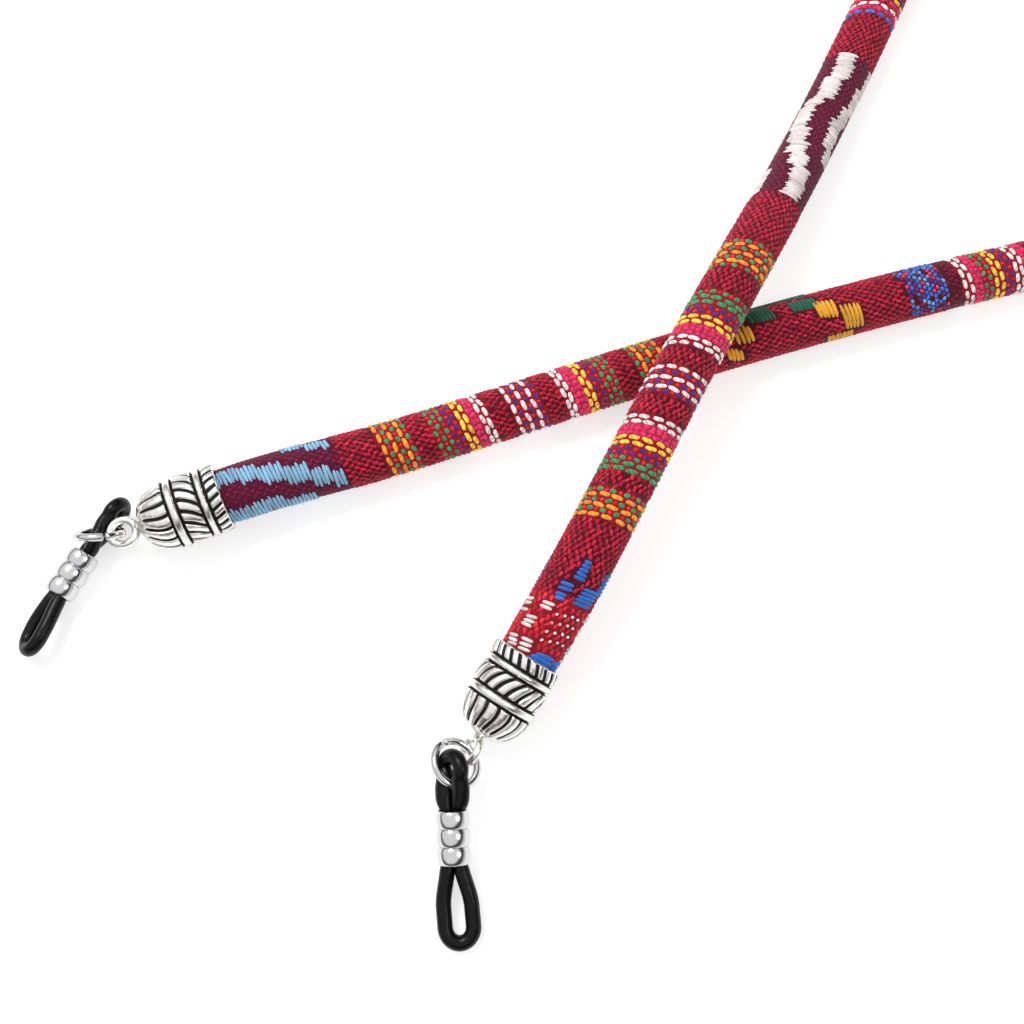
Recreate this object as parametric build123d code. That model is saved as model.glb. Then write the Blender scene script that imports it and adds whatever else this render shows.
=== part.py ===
from build123d import *
import os
from math import cos, pi, radians, sin, sqrt, tan

# Eyeglass retainer strap lying on a table, in millimetres, +Z up, floor at z = 0.
# A woven tube filled with a soft cord runs from one cast end cap, round a put-away coil, to the other.
# Each cap's eye holds a split ring, the ring holds a rubber loop, and a ribbed sleeve slides on the loop.
# The origin is on the floor, under the middle of the two metal and rubber ends.

# strap
strap_diameter = 6.2
cover_wall = 0.5
filler_diameter = 5.1
coil_centre = (127.5, 95.9)
coil_radius = 32.5
coil_layer_height = 6.5
coil_floor_gap = 0.5
top_layer_start = 240
top_layer_end = 480
tie_angle = 20
tie_width = 3.0
tie_thickness = 0.35
tie_gap = 0.05

# end caps, along the cap's axis from the middle of its eye to its mouth
eye_radius = 1.42
eye_wire_radius = 0.45
neck_start = 1.5
neck_radius = 0.75
dome_start = 1.95
dome_tip_radius = 0.9
dome_end = 5.6
mouth = 11.4
mouth_radius = 3.75
band_radius = 3.84
raised_ring_radius = 3.92
groove_radius = 3.68
bore_radius = 3.3
bore_floor = 5.0
strap_seat = 5.8

# split rings, rubber loops and sleeves
ring_radius = 2.43
ring_wire_radius = 0.42
ring_gap_angle = 3
ring_gap_at = 100
strand_radius = 0.72
loop_length = 18.4
strand_offset = 0.74
lower_offset = 1.5
lower_end = 1.6
upper_flare = 2.2
lower_flare = 4.2
sleeve_length = 5.35
sleeve_bore_radius = 1.56
sleeve_neck_radius = 1.69
sleeve_rib_radius = 1.87
sleeve_ribs = 3

# Where the two ends lie. Headings and rolls are degrees, listed against the distance along the loop.
ends = {
    "left": {
        "eye": (-18.2, 17.6, 4.0), "heading": 21.5, "pitch": 0, "eye_roll": 0,
        "ring_heading": 191, "ring_pitch": 17, "ring_lean": (0.103, -0.530, 1.0),
        "loop_top": (-19.05, 21.3, 2.55), "loop_heading": [(0, 238), (6, 238), (12, 243), (18.4, 251)],
        "loop_pitch": [(0, -2.6), (18.4, -2.0)],
        "loop_roll": [(0, -90), (3, -90), (5.2, -66), (7.5, -30), (18.4, -45)],
        "sleeve_start": 6.6, "upper_offset": 1.45,
    },
    "right": {
        "eye": (19.7, -5.8, 2.6), "heading": 57, "pitch": 13, "eye_roll": 55,
        "ring_heading": 227, "ring_pitch": 31, "ring_lean": (-0.711, 0.663, 0.235),
        "loop_top": (17.95, -6.8, 5.33), "loop_heading": [(0, 270.5), (6, 270.5), (12, 275.5), (18.4, 275.5)],
        "loop_pitch": [(0, -15.2), (6, -15.2), (18.4, -12)],
        "loop_roll": [(0, -50), (1.5, -50), (5.2, -20), (18.4, 0)],
        "sleeve_start": 5.35, "upper_offset": 1.46,
    },
}

# The strap's two legs, from the seat in each cap to the coil. The right leg passes over the left one.
left_route = [
    (-12.8, 19.73, 4.0), (-3.78, 23.28, 4.0), (10.0, 27.5, 3.1), (26.5, 33.4, 3.1), (45.0, 39.8, 3.1),
    (62.5, 45.2, 3.1), (83.0, 50.9, 3.1), (103.2, 55.5, 3.1), (122.39, 60.89, 3.3),
]
right_route = [
    (22.78, -1.06, 3.9), (27.93, 6.87, 6.09), (33.6, 17.0, 8.2), (41.5, 32.6, 9.6), (49.5, 47.6, 9.6),
    (57.4, 62.8, 4.6), (66.0, 79.4, 3.1), (75.0, 97.9, 3.1), (84.0, 108.3, 3.1), (92.0, 113.3, 5.6),
    (99.13, 117.05, 8.6),
]


def direction(heading, pitch=0):
    """Unit vector at a heading in the floor plane, raised by the pitch."""
    flat = cos(radians(pitch))
    return Vector(cos(radians(heading)) * flat, sin(radians(heading)) * flat, sin(radians(pitch)))


def between(stops, along):
    """Value at a distance, in straight steps between the listed stops."""
    for (start, low), (end, high) in zip(stops, stops[1:]):
        if along <= end:
            return low + (high - low) * (along - start) / (end - start)
    return stops[-1][1]


def ease(value, low, high):
    """0 below low, 1 above high, and smooth between them."""
    share = min(max((value - low) / (high - low), 0), 1)
    return share * share * (3 - 2 * share)


def cap_plane(end):
    """Origin in the eye, Z towards the mouth, X across the eye's plane."""
    axis = direction(end["heading"], end["pitch"])
    side = Vector(0, 0, 1).cross(axis).normalized()
    up = axis.cross(side)
    roll = radians(end["eye_roll"])
    normal = up * cos(roll) + side * sin(roll)
    return Plane(origin=end["eye"], x_dir=normal.cross(axis), z_dir=axis)


def ring_plane(end):
    """Origin in the ring's middle, X away from the cap's eye, Z across the ring."""
    away = direction(end["ring_heading"], end["ring_pitch"])
    middle = Vector(*end["eye"]) + away * ring_radius
    return Plane(origin=middle, x_dir=away, z_dir=away.cross(Vector(*end["ring_lean"])).normalized())


def end_cap(end):
    """Cast bell with two raised rings, a bore for the strap and an eye on its tip."""
    with BuildPart() as cap:
        with BuildSketch(Plane.XZ):
            with BuildLine():
                Polyline((0, bore_floor), (0, neck_start), (neck_radius, neck_start), (neck_radius, dome_start),
                         (dome_tip_radius, dome_start))
                ThreePointArc((dome_tip_radius, dome_start), (2.75, 3.05), (groove_radius, dome_end))
                Polyline((groove_radius, dome_end), (raised_ring_radius, 5.75), (raised_ring_radius, 6.55),
                         (groove_radius, 6.75), (band_radius, 6.9), (band_radius, 8.85), (groove_radius, 9.0),
                         (raised_ring_radius, 9.15), (raised_ring_radius, 9.75), (groove_radius, 9.9),
                         (mouth_radius, 10.1), (mouth_radius, mouth), (bore_radius, mouth),
                         (bore_radius, bore_floor), (0, bore_floor))
            make_face()
        revolve(axis=Axis.Z)
        with Locations(Rotation(90, 0, 0)):
            Torus(eye_radius, eye_wire_radius)
    return cap_plane(end) * cap.part


def glue_plug(end):
    """Hardened glue between the bore's floor and the strap's end."""
    depth = strap_seat - bore_floor
    plug = Cylinder(bore_radius - 0.05, depth, align=(Align.CENTER, Align.CENTER, Align.MIN))
    return cap_plane(end) * Pos(0, 0, bore_floor) * plug


def split_ring(end):
    """Round wire bent into a ring, with a narrow gap between its ends."""
    wire = Plane.XZ * Pos(ring_radius, 0) * Circle(ring_wire_radius)
    ring = revolve(wire, axis=Axis.Z, revolution_arc=360 - ring_gap_angle)
    return ring_plane(end) * Rotation(0, 0, ring_gap_at) * ring


def loop_axis(end, steps=230):
    """Middle line of the rubber loop with its direction, walked in small steps from the top."""
    point = Vector(*end["loop_top"])
    step = loop_length / steps
    line = []
    for index in range(steps + 1):
        along = index * step
        heading = between(end["loop_heading"], along)
        line.append((point, direction(heading, between(end["loop_pitch"], along))))
        middle = along + step / 2
        point = point + direction(between(end["loop_heading"], middle), between(end["loop_pitch"], middle)) * step
    return line


def strand_spread(end, along):
    """How far each strand's middle stands from the loop's middle line."""
    sleeve_end = end["sleeve_start"] + sleeve_length
    upper = end["upper_offset"]
    if along < end["sleeve_start"]:
        spread = strand_offset + (upper - strand_offset) * ease(end["sleeve_start"] - along, 0, upper_flare)
    else:
        spread = strand_offset + (lower_offset - strand_offset) * ease(along - sleeve_end, -0.3, lower_flare)
    if along < upper:
        spread *= sqrt(max(1 - ((upper - along) / upper) ** 2, 0))
    if along > loop_length - lower_end:
        spread *= sqrt(max(1 - ((along - loop_length + lower_end) / lower_end) ** 2, 0))
    return spread


def loop_point(end, line, along, sign):
    """Middle of one strand: out from the middle line, across the rolled plane of the loop."""
    point, ahead = line[round(along / loop_length * (len(line) - 1))]
    side = Vector(ahead.Y, -ahead.X, 0).normalized()
    roll = radians(between(end["loop_roll"], along))
    across = side * cos(roll) + side.cross(ahead) * sin(roll)
    return point + across * (sign * strand_spread(end, along))


def rubber_strand(end, line, stations, sign):
    """Half of the loop, from the middle of its top to the middle of its bottom, through round sections."""
    points = [loop_point(end, line, along, sign) for along in stations]
    mirrored = [loop_point(end, line, along, -sign) for along in stations]
    around = [mirrored[1], *points, mirrored[-2]]
    sections = [
        Plane(origin=here, z_dir=after - before) * Circle(strand_radius)
        for before, here, after in zip(around, around[1:], around[2:])
    ]
    return loft(sections)


def rubber_loop(end, count=20):
    """Endless rubber cord: a small upper eye, two strands in the sleeve and a long lower eye."""
    line = loop_axis(end)
    stations = [loop_length / 2 * (1 - cos(pi * index / count)) for index in range(count + 1)]
    return rubber_strand(end, line, stations, 1) + rubber_strand(end, line, stations, -1)


def sleeve_plane(end):
    """Origin at the sleeve's upper end, Z down along the loop."""
    line = loop_axis(end)
    last = len(line) - 1
    top = line[round(end["sleeve_start"] / loop_length * last)][0]
    bottom = line[round((end["sleeve_start"] + sleeve_length) / loop_length * last)][0]
    return Plane(origin=top, z_dir=bottom - top)


def ribbed_sleeve(end):
    """Thin tube with three round ribs, open at both ends."""
    pitch = sleeve_length / sleeve_ribs
    with BuildPart() as sleeve:
        with BuildSketch(Plane.XZ):
            with BuildLine():
                Polyline((sleeve_neck_radius, 0), (sleeve_bore_radius, 0), (sleeve_bore_radius, sleeve_length),
                         (sleeve_neck_radius, sleeve_length))
                for rib in range(sleeve_ribs):
                    base = rib * pitch
                    ThreePointArc((sleeve_neck_radius, base), (sleeve_rib_radius, base + pitch / 2),
                                  (sleeve_neck_radius, base + pitch))
            make_face()
        revolve(axis=Axis.Z)
    return sleeve_plane(end) * sleeve.part


def bend_radii(route):
    """One radius for each corner: 0.45 of the shorter run, over the tangent of half the turn."""
    points = [Vector(*point) for point in route]
    radii = []
    for before, corner, after in zip(points, points[1:], points[2:]):
        turn = (corner - before).get_angle(after - corner)
        shorter = min((corner - before).length, (after - corner).length)
        radii.append(0.45 * shorter / tan(radians(turn / 2)))
    return radii


def swept(route, section):
    """A section carried along straight runs joined by arcs."""
    path = FilletPolyline(*route, radius=bend_radii(route))
    return sweep(Plane(origin=path @ 0, z_dir=path % 0) * section, path=path), path.length


def strap_leg(name, route):
    """One leg of the strap: the woven cover, and the soft cord inside it."""
    outer = Circle(strap_diameter / 2)
    cover, length = swept(route, outer - Circle(strap_diameter / 2 - cover_wall))
    filler, _ = swept(route, Circle(filler_diameter / 2))
    section = pi * (strap_diameter ** 2 - (strap_diameter - 2 * cover_wall) ** 2) / 4
    radii = ", ".join(f"{radius:.0f}" for radius in bend_radii(route))
    print(f"{name} leg {length:.1f} long, radii {radii}, cover {cover.volume / (section * length):.4f} of plain tube")
    return cover, filler


def coil_layer(height, start, sweep_angle):
    """One layer of the coil: a rounded band, turned about the coil's middle."""
    centre = height + coil_layer_height / 2
    band = Plane.XZ * Pos(coil_radius, centre) * RectangleRounded(strap_diameter, coil_layer_height + 0.2, 2.9)
    turned = revolve(band, axis=Axis.Z, revolution_arc=sweep_angle)
    return Pos(*coil_centre, 0) * Rotation(0, 0, start) * turned


def strap_coil():
    """Outer shape of the put-away turns: a full lower layer, and an upper one part of the way round."""
    lower = coil_layer(coil_floor_gap, 0, 360)
    upper = coil_layer(coil_floor_gap + coil_layer_height, top_layer_start, top_layer_end - top_layer_start)
    return lower + upper


def coil_tie():
    """Flat band round both layers of the coil."""
    inner_width = strap_diameter + 2 * tie_gap
    inner_height = 2 * coil_layer_height + 0.2 + 2 * tie_gap
    bottom = coil_floor_gap - 0.1 - tie_gap
    outwards = direction(tie_angle)
    middle = Vector(*coil_centre) + outwards * coil_radius + Vector(0, 0, bottom + inner_height / 2)
    plane = Plane(origin=middle, x_dir=outwards, z_dir=direction(tie_angle + 90))
    outside = RectangleRounded(inner_width + 2 * tie_thickness, inner_height + 2 * tie_thickness, 3.2)
    band = outside - RectangleRounded(inner_width, inner_height, 2.85)
    return extrude(plane * band, amount=tie_width / 2, both=True)


parts = {"strap_coil": strap_coil(), "coil_tie": coil_tie()}
for side, route in (("left", left_route), ("right", right_route)):
    end = ends[side]
    parts[f"strap_cover_{side}"], parts[f"filler_cord_{side}"] = strap_leg(side, route)
    parts[f"end_cap_{side}"] = end_cap(end)
    parts[f"glue_plug_{side}"] = glue_plug(end)
    parts[f"split_ring_{side}"] = split_ring(end)
    parts[f"rubber_loop_{side}"] = rubber_loop(end)
    parts[f"ribbed_sleeve_{side}"] = ribbed_sleeve(end)

os.makedirs("parts", exist_ok=True)
for name, part in parts.items():
    export_step(part, f"parts/{name}.step")
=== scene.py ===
import bpy
import math
import numpy as np
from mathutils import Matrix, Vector


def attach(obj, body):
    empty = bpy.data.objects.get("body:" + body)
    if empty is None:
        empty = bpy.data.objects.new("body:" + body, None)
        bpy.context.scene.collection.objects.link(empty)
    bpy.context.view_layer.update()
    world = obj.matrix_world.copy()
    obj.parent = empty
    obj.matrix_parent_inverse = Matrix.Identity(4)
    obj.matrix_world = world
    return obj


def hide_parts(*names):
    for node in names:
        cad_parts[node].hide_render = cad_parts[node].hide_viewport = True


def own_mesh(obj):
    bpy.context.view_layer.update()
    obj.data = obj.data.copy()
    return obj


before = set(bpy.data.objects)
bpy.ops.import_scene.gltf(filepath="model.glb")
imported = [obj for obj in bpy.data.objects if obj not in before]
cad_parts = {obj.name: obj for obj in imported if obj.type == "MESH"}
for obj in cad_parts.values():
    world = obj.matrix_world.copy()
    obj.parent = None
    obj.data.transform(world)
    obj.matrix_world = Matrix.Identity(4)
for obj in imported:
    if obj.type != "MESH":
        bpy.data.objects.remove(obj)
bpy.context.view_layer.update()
rng = np.random.default_rng(7)

cameraSettings = {
    "place": (0.0240, -0.02785, 0.1353),
    "tilt": 20.0,  # degrees away from straight down
    "lens": 45.0,
    "sensor": 36.0,
}


def makeCamera():
    # looks down on the strap from above and a little in front
    data = bpy.data.cameras.new("camera")
    data.lens = cameraSettings["lens"]
    data.sensor_width = cameraSettings["sensor"]
    data.clip_start = 0.005
    data.clip_end = 10.0
    camera = bpy.data.objects.new("camera", data)
    camera.location = cameraSettings["place"]
    camera.rotation_euler = (math.radians(cameraSettings["tilt"]), 0.0, 0.0)
    bpy.context.scene.collection.objects.link(camera)
    bpy.context.scene.camera = camera


makeCamera()
print("camera placed")

mm = 0.001
strap = {
    "diameter": 0.0062,
    "length": 0.627,
    "leftRoute": [
        (-12.8, 19.73, 4.0), (-3.78, 23.28, 4.0), (10.0, 27.5, 3.1), (26.5, 33.4, 3.1), (45.0, 39.8, 3.1),
        (62.5, 45.2, 3.1), (83.0, 50.9, 3.1), (103.2, 55.5, 3.1), (122.39, 60.89, 3.3),
    ],
    "rightRoute": [
        (22.78, -1.06, 3.9), (27.93, 6.87, 6.09), (33.6, 17.0, 8.2), (41.65, 32.6, 9.35), (49.9, 47.6, 9.35),
        (57.85, 62.8, 4.6), (66.15, 79.4, 3.1), (75.0, 97.9, 3.1), (84.0, 108.3, 3.1), (92.0, 113.3, 5.6),
        (99.13, 117.05, 8.6),
    ],
    "coilCentre": (127.5, 95.9),
    "coilRadius": 32.5,
    "coilEnters": -75.0,  # degrees round the coil where the left leg joins it
    "coilLeaves": 480.0,
    "coilRampStart": 200.0,
    "coilRampEnd": 285.0,
    "coilLow": 3.5,
    "coilHigh": 9.95,
    "coilPointsPerTurn": 18,
}


def coilPoints():
    # points round the coil at equal angles, level, then a smooth ramp up on to the first turn
    spacing = 360.0 / strap["coilPointsPerTurn"]
    angles = np.arange(strap["coilEnters"], strap["coilLeaves"] + 0.1, spacing)
    share = (angles - strap["coilRampStart"]) / (strap["coilRampEnd"] - strap["coilRampStart"])
    share = np.clip(share, 0.0, 1.0)
    height = strap["coilLow"] + (strap["coilHigh"] - strap["coilLow"]) * share * share * (3 - 2 * share)
    radius = strap["coilRadius"] / np.cos(np.radians(spacing) / 2) ** 0.5
    x = strap["coilCentre"][0] + radius * np.cos(np.radians(angles))
    y = strap["coilCentre"][1] + radius * np.sin(np.radians(angles))
    return list(zip(x, y, height))


def makeLine(points, name):
    # a NURBS line through the route's control points, in metres
    data = bpy.data.curves.new(name, "CURVE")
    data.dimensions = "3D"
    data.resolution_u = 12
    spline = data.splines.new("NURBS")
    spline.points.add(len(points) - 1)
    for slot, point in zip(spline.points, points):
        slot.co = (point[0] * mm, point[1] * mm, point[2] * mm, 1.0)
    spline.order_u = 3
    spline.use_endpoint_u = True
    curve = bpy.data.objects.new(name, data)
    bpy.context.scene.collection.objects.link(curve)
    bpy.context.view_layer.update()
    mesh = bpy.data.meshes.new_from_object(curve)
    line = np.zeros(len(mesh.vertices) * 3)
    mesh.vertices.foreach_get("co", line)
    bpy.data.objects.remove(curve)
    bpy.data.meshes.remove(mesh)
    return line.reshape(-1, 3)


strapLine = makeLine(strap["leftRoute"] + coilPoints() + strap["rightRoute"][::-1], "strapLine")
stepLengths = np.linalg.norm(np.diff(strapLine, axis=0), axis=1)
strapDistance = np.concatenate([[0.0], np.cumsum(stepLengths)])
strapLength = strapDistance[-1]
print("strap line", round(strapLength * 1000, 1), "mm")


def unit(vectors):
    return vectors / np.linalg.norm(vectors, axis=-1, keepdims=True)


def frameAlong(distance):
    # centre, sideways and upward directions of the strap at distances along its line
    reach = 0.0008
    centre = np.stack([np.interp(distance, strapDistance, strapLine[:, k]) for k in range(3)], -1)
    ahead = np.stack([np.interp(distance + reach, strapDistance, strapLine[:, k]) for k in range(3)], -1)
    behind = np.stack([np.interp(distance - reach, strapDistance, strapLine[:, k]) for k in range(3)], -1)
    along = unit(ahead - behind)
    up = unit(np.array([0.0, 0.0, 1.0]) - along * along[..., 2:3])
    return centre, np.cross(along, up), up


def onStrap(distance, around, lift):
    # a point of the strap's skin: out from the middle line by an oval of half width and half height
    centre, side, up = frameAlong(distance)
    halfWidth = np.interp(distance / mm, section["at"], section["halfWidth"]) * mm
    halfHeight = section["halfHeight"] * mm
    turn = around / (section["mean"] * mm)
    sideways = (halfWidth + lift) * np.sin(turn)
    upward = (halfHeight + lift) * np.cos(turn)
    return centre + side * sideways[..., None] + up * upward[..., None]


section = {
    "mean": 3.1,
    "halfHeight": 2.9,
    "at": [0, 5.6, 8, 35, 100, 150, 480, 527, 590, 619, 621.5, 627],
    "halfWidth": [3.0, 3.05, 3.15, 3.0, 2.85, 2.95, 2.95, 2.98, 3.1, 3.2, 3.1, 3.0],
}


def meshFromGrids(name, grids, uvGrids=None, closedAcross=False, attributes=None):
    # one object from a stack of point grids shaped (count, rows, columns, 3), each grid its own patch
    count, rows, columns = grids.shape[:3]
    points = grids.reshape(-1, 3)
    row = np.arange(rows - 1)
    column = np.arange(columns if closedAcross else columns - 1)
    first, second = np.meshgrid(row, column, indexing="ij")
    following = (second + 1) % columns
    quad = np.stack([
        first * columns + second, first * columns + following,
        (first + 1) * columns + following, (first + 1) * columns + second,
    ], -1).reshape(-1, 4)
    faces = (quad[None] + (np.arange(count) * rows * columns)[:, None, None]).reshape(-1, 4)
    return meshFromFaces(name, points, faces, uvGrids, attributes)


def meshFromFaces(name, points, faces, uvs=None, attributes=None, smooth=True):
    mesh = bpy.data.meshes.new(name)
    mesh.vertices.add(len(points))
    mesh.vertices.foreach_set("co", points.astype(np.float32).ravel())
    size = faces.shape[1]
    mesh.loops.add(faces.size)
    mesh.loops.foreach_set("vertex_index", faces.astype(np.int32).ravel())
    mesh.polygons.add(len(faces))
    mesh.polygons.foreach_set("loop_start", np.arange(0, faces.size, size, dtype=np.int32))
    if smooth:
        mesh.polygons.foreach_set("use_smooth", np.ones(len(faces), bool))
    if uvs is not None:
        layer = mesh.uv_layers.new(name="UVMap")
        layer.data.foreach_set("uv", uvs.reshape(-1, 2)[faces.ravel()].astype(np.float32).ravel())
    for key, values in (attributes or {}).items():
        kind = "FLOAT_COLOR" if values.shape[-1] == 4 else "FLOAT"
        attribute = mesh.attributes.new(key, kind, "POINT")
        attribute.data.foreach_set("color" if kind == "FLOAT_COLOR" else "value", values.astype(np.float32).ravel())
    mesh.update(calc_edges=True)
    mesh.validate()
    piece = bpy.data.objects.new(name, mesh)
    bpy.context.scene.collection.objects.link(piece)
    return piece


class Wire:
    # one output socket, with the arithmetic that the materials use
    def __init__(self, paint, socket):
        self.paint = paint
        self.socket = socket

    def math(self, operation, other):
        return self.paint.node("ShaderNodeMath", {"operation": operation}, {0: self, 1: other})

    def __add__(self, other):
        return self.math("ADD", other)

    def __mul__(self, other):
        return self.math("MULTIPLY", other)

    def __sub__(self, other):
        return self.math("SUBTRACT", other)

    def clamped(self, low=0.0, high=1.0):
        return self.math("MAXIMUM", low).math("MINIMUM", high)


class Paint:
    # builds one material
    def __init__(self, name):
        self.material = bpy.data.materials.new(name)
        self.material.use_nodes = True
        self.tree = self.material.node_tree
        self.shader = self.tree.nodes["Principled BSDF"]

    def node(self, kind, settings=None, inputs=None, output=0):
        made = self.tree.nodes.new(kind)
        for key, value in (settings or {}).items():
            if key == "stops":
                self.setStops(made.color_ramp, value)
            else:
                setattr(made, key, value)
        for key, value in (inputs or {}).items():
            self.feed(made.inputs[key], value)
        return Wire(self, made.outputs[output])

    def setStops(self, ramp, stops):
        while len(ramp.elements) < len(stops):
            ramp.elements.new(0.5)
        for element, (place, colour) in zip(ramp.elements, stops):
            element.position = place
            element.color = (*colour, 1.0)

    def feed(self, socket, value):
        if isinstance(value, Wire):
            self.tree.links.new(value.socket, socket)
        elif isinstance(value, tuple) and len(value) == 3 and socket.type == "RGBA":
            socket.default_value = (*value, 1.0)
        else:
            socket.default_value = value

    def set(self, **values):
        for key, value in values.items():
            self.feed(self.shader.inputs[key.replace("_", " ")], value)
        return self

    def place(self, output="Object"):
        return self.node("ShaderNodeTexCoord", output=["Generated", "Normal", "UV", "Object"].index(output))

    def noise(self, vector, scale, detail=3.0, roughness=0.55):
        return self.node("ShaderNodeTexNoise", None,
                         {"Vector": vector, "Scale": scale, "Detail": detail, "Roughness": roughness})

    def mix(self, share, first, second, kind="MIX"):
        settings = {"data_type": "RGBA", "blend_type": kind}
        return self.node("ShaderNodeMix", settings, {0: share, 6: first, 7: second}, 2)

    def shaded(self, colour, shade):
        # a colour made lighter or darker by a number that changes over the surface
        grey = self.node("ShaderNodeCombineColor", None, {0: shade, 1: shade, 2: shade})
        return self.mix(1.0, colour, grey, "MULTIPLY")

    def attribute(self, name, output=0):
        return self.node("ShaderNodeAttribute", {"attribute_name": name}, output=output)

    def bump(self, height, strength=1.0, distance=0.0001):
        return self.node("ShaderNodeBump", None, {"Strength": strength, "Distance": distance, "Height": height})


def fromScreen(red, green, blue):
    # a colour given as 0 to 255 on a screen, in the linear values that shaders take
    share = np.array([red, green, blue]) / 255.0
    return tuple(np.where(share <= 0.04045, share / 12.92, ((share + 0.055) / 1.055) ** 2.4).tolist())


yarn = {
    "crimson": fromScreen(180, 24, 52),
    "scarlet": fromScreen(204, 36, 52),
    "vermilion": fromScreen(214, 40, 44),
    "burgundy": fromScreen(112, 20, 58),
    "skyBlue": fromScreen(138, 190, 222),
    "white": fromScreen(238, 228, 226),
    "orange": fromScreen(252, 158, 40),
    "green": fromScreen(30, 156, 98),
    "purple": fromScreen(78, 40, 125),
    "yellow": fromScreen(252, 208, 70),
    "pink": fromScreen(224, 48, 98),
    "royalBlue": fromScreen(38, 112, 205),
    "gold": fromScreen(238, 172, 44),
    "darkGreen": fromScreen(26, 96, 74),
    "paleBlue": fromScreen(96, 160, 220),
}

weave = {
    "around": 13,  # dashes in one row round the strap
    "rowStep": 0.52,
    "seedLength": 0.80,
    "seedWidth": 0.50,
    "seedHeight": 0.15,
    "dashLength": 1.34,
    "dashWidth": 0.56,
    "dashHeight": 0.20,
    "dashShape": 3.6,
    "dotLength": 0.80,
    "dotHeight": 0.17,
    "dotShape": 2.4,
    "betweenLength": 0.62,  # of the ground's own red between the dots
    "betweenWidth": 0.5,
    "betweenHeight": 0.12,
    "rowSpread": (0.9, 1.08),
    "rowWander": (0.035, 0.05),
    "slant": 0.15,  # rows run a little askew round the strap
    "satinPitch": 0.42,
    "satinWidth": 0.45,
    "satinHeight": 0.21,
    "satinShape": 5.0,
    "satinSpread": (0.93, 1.05),
    "satinWander": 0.07,
    "satinRag": 0.09,  # every second float is shorter, so that the stripe's edges are toothed
    "sink": 0.07,
    "shadeSpread": 0.10,
    "shadeLimits": (0.72, 1.28),
    "leanSpread": 0.05,
    "narrowing": 0.6,  # how much a stitch narrows to its ends
}
weave["pitch"] = 2 * math.pi * section["mean"] / weave["around"]

# rows of dashes along each leg: distance from the strap's end in mm, colour, kind, and which half of the brick
leftRows = [
    (23.6, "orange", "dash", 0), (24.2, "green", "dot", 1), (24.8, "orange", "dash", 0), (25.4, "green", "dot", 1),
    (26.0, "orange", "dash", 0), (26.6, "green", "dot", 1),
    (29.5, "green", "dot", 0), (30.1, "green", "dot", 1), (30.8, "green", "dot", 0),
    (31.4, "purple", "dot", 1), (32.0, "purple", "dot", 0),
    (32.7, "yellow", "dash", 0), (33.3, "yellow", "dash", 1),
    (33.9, "pink", "dot", 0), (34.4, "pink", "dot", 1),
    (35.0, "white", "dash", 0), (35.6, "white", "dash", 1),
    (38.6, "white", "dash", 0), (39.2, "purple", "dot", 1), (39.8, "white", "dash", 0), (40.4, "purple", "dot", 1),
    (41.0, "white", "dash", 0), (41.6, "purple", "dot", 1),
    (44.5, "white", "dash", 0), (45.1, "white", "dash", 1),
    (45.6, "pink", "dot", 0), (46.1, "pink", "dot", 1), (46.5, "pink", "dot", 0),
    (47.0, "yellow", "dash", 1), (47.6, "yellow", "dash", 0),
    (48.2, "purple", "dot", 1), (48.8, "purple", "dot", 0),
    (49.4, "green", "dot", 1), (50.0, "green", "dot", 0), (50.6, "green", "dot", 1),
    (53.7, "green", "dot", 1), (54.3, "orange", "dash", 0), (54.9, "green", "dot", 1), (55.5, "orange", "dash", 0),
    (56.1, "green", "dot", 1), (56.7, "orange", "dash", 0),
    (93.2, "white", "dash", 1), (93.9, "white", "dash", 0), (94.5, "pink", "dot", 1), (95.0, "pink", "dot", 0),
    (95.6, "green", "dot", 0), (96.3, "green", "dot", 1), (97.0, "yellow", "dash", 0), (97.7, "yellow", "dash", 1),
    (98.3, "purple", "dot", 0), (98.9, "purple", "dot", 1), (99.6, "white", "dash", 0), (100.3, "white", "dash", 1),
    (100.9, "pink", "dot", 0), (101.5, "pink", "dot", 1),
]
rightRows = [
    (21.7, "orange", "dash", 0), (22.3, "green", "dot", 1), (22.85, "orange", "dash", 0), (23.4, "green", "dot", 1),
    (24.0, "orange", "dash", 0), (24.6, "green", "dot", 1),
    (27.2, "green", "dash", 0), (27.9, "green", "dash", 1), (28.5, "green", "dot", 0),
    (29.1, "purple", "dot", 1), (29.7, "purple", "dot", 0),
    (30.3, "yellow", "dash", 1), (31.0, "yellow", "dash", 0),
    (31.5, "pink", "dot", 1), (32.0, "pink", "dot", 0), (32.4, "pink", "dot", 1),
    (32.9, "white", "dash", 1), (33.6, "white", "dash", 0),
    (36.9, "purple", "dot", 1), (37.4, "white", "dash", 0), (38.0, "purple", "dot", 1), (38.6, "white", "dash", 0),
    (39.3, "purple", "dot", 1), (39.9, "white", "dash", 0),
    (43.2, "white", "dash", 0), (43.9, "white", "dash", 1), (44.5, "pink", "dot", 0), (45.0, "pink", "dot", 1),
    (45.5, "pink", "dot", 0), (46.0, "yellow", "dash", 0), (46.7, "yellow", "dash", 1),
    (47.4, "purple", "dot", 0), (48.0, "purple", "dot", 1),
    (48.7, "green", "dash", 0), (49.4, "green", "dash", 1), (50.1, "green", "dot", 0),
    (54.0, "green", "dot", 1), (54.6, "orange", "dash", 0), (55.2, "green", "dot", 1), (55.8, "orange", "dash", 0),
    (56.5, "green", "dot", 1), (57.1, "orange", "dash", 0), (57.7, "green", "dot", 1),
    (99.6, "royalBlue", "dash", 1), (100.4, "pink", "dash", 0), (101.1, "white", "dash", 1),
    (102.0, "pink", "dash", 0), (102.8, "yellow", "dash", 1), (103.5, "purple", "dash", 0),
]

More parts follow.
